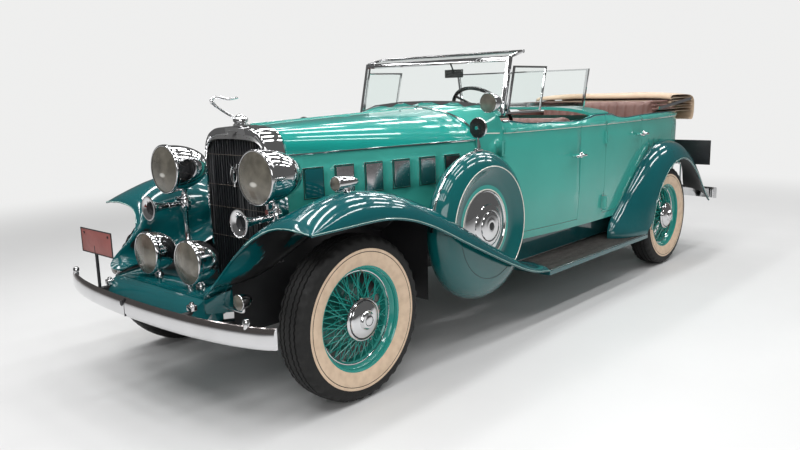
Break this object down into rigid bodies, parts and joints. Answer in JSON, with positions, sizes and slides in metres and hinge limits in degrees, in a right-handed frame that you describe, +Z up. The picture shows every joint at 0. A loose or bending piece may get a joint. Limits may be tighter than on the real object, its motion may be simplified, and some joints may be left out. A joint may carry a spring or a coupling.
{
  "type": "open touring car",
  "caption": "Early-1930s open touring car with folding hood halves, hinged doors, side-mounted spares, a second windscreen and a folded cloth top.",
  "frame": {"origin": "on the ground, in the middle of the car's length and width", "axes": "+X towards the car's left, the driver's side; -Y towards the front; +Z up"},
  "size_m": [1.818, 5.38, 1.714],
  "materials": {
    "body_green": "gloss",
    "hood_green": "gloss",
    "dark_teal": "gloss",
    "chassis_black": "satin",
    "engine_paint": "satin",
    "exhaust_steel": "matte",
    "bright_plate": "polished",
    "grille_black": "satin",
    "plate_paint": "satin",
    "clear_glass": "clear",
    "wheel_black": "gloss",
    "brown_leather": "satin",
    "tan_cloth": "woven",
    "tyre_rubber": "matte",
    "wheel_green": "gloss"
  },
  "bodies": {
    "body": {"frame": "chassis_black", "front_axle": "chassis_black", "rear_axle": "chassis_black", "leaf_springs": "chassis_black", "engine_block": "engine_paint", "driveline": "chassis_black", "exhaust": "exhaust_steel", "fuel_tank": "chassis_black", "radiator_shell": "bright_plate", "radiator_grille": "grille_black", "radiator_cap": "bright_plate", "splash_panels": "dark_teal", "cowl": "body_green", "body_tub": "body_green", "partition": "body_green", "front_fenders": "dark_teal", "rear_fenders": "dark_teal", "running_boards": "dark_teal", "front_apron": "dark_teal", "spare_wheels": "dark_teal", "front_bumper": "bright_plate", "rear_bumper": "bright_plate", "number_plates": "plate_paint", "tail_lamps": "bright_plate", "headlamps": "bright_plate", "driving_lamps": "bright_plate", "fender_lamps": "bright_plate", "horns": "bright_plate", "spotlight": "bright_plate", "mirrors": "bright_plate", "windscreen_frame": "bright_plate", "wind_wings": "bright_plate", "rear_screen_frame": "bright_plate", "screen_glass": "clear_glass", "steering_column": "chassis_black", "front_seat": "brown_leather", "rear_seat": "brown_leather", "folded_top": "tan_cloth", "top_irons": "bright_plate"},
    "front_left_door": {"front_left_door": "body_green"},
    "front_right_door": {"front_right_door": "body_green"},
    "rear_left_door": {"rear_left_door": "body_green"},
    "rear_right_door": {"rear_right_door": "body_green"},
    "hood_left_top": {"hood_left_top": "hood_green"},
    "hood_right_top": {"hood_right_top": "hood_green"},
    "hood_left_side": {"hood_left_side": "hood_green"},
    "hood_right_side": {"hood_right_side": "hood_green"},
    "knuckle_left": {"knuckle_left": "chassis_black"},
    "knuckle_right": {"knuckle_right": "chassis_black"},
    "tie_rod": {"tie_rod": "chassis_black"},
    "steering_wheel": {"steering_wheel": "wheel_black"},
    "road_wheel_front_left": {"tyre_front_left": "tyre_rubber", "wheel_front_left": "wheel_green"},
    "road_wheel_front_right": {"tyre_front_right": "tyre_rubber", "wheel_front_right": "wheel_green"},
    "road_wheel_rear_left": {"tyre_rear_left": "tyre_rubber", "wheel_rear_left": "wheel_green"},
    "road_wheel_rear_right": {"tyre_rear_right": "tyre_rubber", "wheel_rear_right": "wheel_green"}
  },
  "joints": [
    {"name": "steer_left", "type": "hinge", "parent": "body", "child": "knuckle_left", "pos_m": [0.614, -1.95, 0.406], "axis": [0, 0, 1], "range_deg": [-30, 30]},
    {"name": "steer_right", "type": "hinge", "parent": "body", "child": "knuckle_right", "pos_m": [-0.614, -1.95, 0.406], "axis": [0, 0, 1], "range_deg": [-30, 30]},
    {"name": "tie_rod_pivot", "type": "hinge", "parent": "knuckle_left", "child": "tie_rod", "pos_m": [0.614, -1.782, 0.324], "axis": [0, 0, 1], "range_deg": [-30, 30]},
    {"name": "steering_turn", "type": "hinge", "parent": "body", "child": "steering_wheel", "pos_m": [0.31, -0.25, 1.312], "axis": [0, 0.7878, 0.6159], "range_deg": [-465, 465]},
    {"name": "roll_front_left", "type": "hinge", "parent": "knuckle_left", "child": "road_wheel_front_left", "pos_m": [0.752, -1.95, 0.406], "axis": [1, 0, 0], "continuous": true},
    {"name": "roll_front_right", "type": "hinge", "parent": "knuckle_right", "child": "road_wheel_front_right", "pos_m": [-0.752, -1.95, 0.406], "axis": [1, 0, 0], "continuous": true},
    {"name": "roll_rear_left", "type": "hinge", "parent": "body", "child": "road_wheel_rear_left", "pos_m": [0.768, 1.606, 0.406], "axis": [1, 0, 0], "continuous": true},
    {"name": "roll_rear_right", "type": "hinge", "parent": "body", "child": "road_wheel_rear_right", "pos_m": [-0.768, 1.606, 0.406], "axis": [1, 0, 0], "continuous": true},
    {"name": "front_left_door_swing", "type": "hinge", "parent": "body", "child": "front_left_door", "pos_m": [0.65551, -0.493, 0.9], "axis": [0, 0, -1], "range_deg": [0, 50]},
    {"name": "front_right_door_swing", "type": "hinge", "parent": "body", "child": "front_right_door", "pos_m": [-0.65551, -0.493, 0.9], "axis": [0, 0, 1], "range_deg": [0, 50]},
    {"name": "rear_left_door_swing", "type": "hinge", "parent": "body", "child": "rear_left_door", "pos_m": [0.76231, 0.679, 0.9], "axis": [0, 0, -1], "range_deg": [0, 65]},
    {"name": "rear_right_door_swing", "type": "hinge", "parent": "body", "child": "rear_right_door", "pos_m": [-0.76231, 0.679, 0.9], "axis": [0, 0, 1], "range_deg": [0, 65]},
    {"name": "hood_left_fold", "type": "hinge", "parent": "body", "child": "hood_left_top", "pos_m": [0, -1.255, 1.34], "axis": [0, -0.9994, -0.0332], "range_deg": [0, 50]},
    {"name": "hood_right_fold", "type": "hinge", "parent": "body", "child": "hood_right_top", "pos_m": [0, -1.255, 1.34], "axis": [0, 0.9994, 0.0332], "range_deg": [0, 50]},
    {"name": "hood_left_side_fold", "type": "hinge", "parent": "hood_left_top", "child": "hood_left_side", "pos_m": [0.38812, -1.255, 1.163], "axis": [-0.1667, -0.986, 0], "range_deg": [-50, 0]},
    {"name": "hood_right_side_fold", "type": "hinge", "parent": "hood_right_top", "child": "hood_right_side", "pos_m": [-0.38812, -1.255, 1.163], "axis": [-0.1667, 0.986, 0], "range_deg": [-50, 0]}
  ],
  "couplings": [
    {"joint": "steer_right", "follows": "steer_left", "ratio": 1},
    {"joint": "tie_rod_pivot", "follows": "steer_left", "ratio": -1},
    {"joint": "steering_turn", "follows": "steer_left", "ratio": 15},
    {"joint": "hood_left_side_fold", "follows": "hood_left_fold", "ratio": -1},
    {"joint": "hood_right_side_fold", "follows": "hood_right_fold", "ratio": -1}
  ]
}
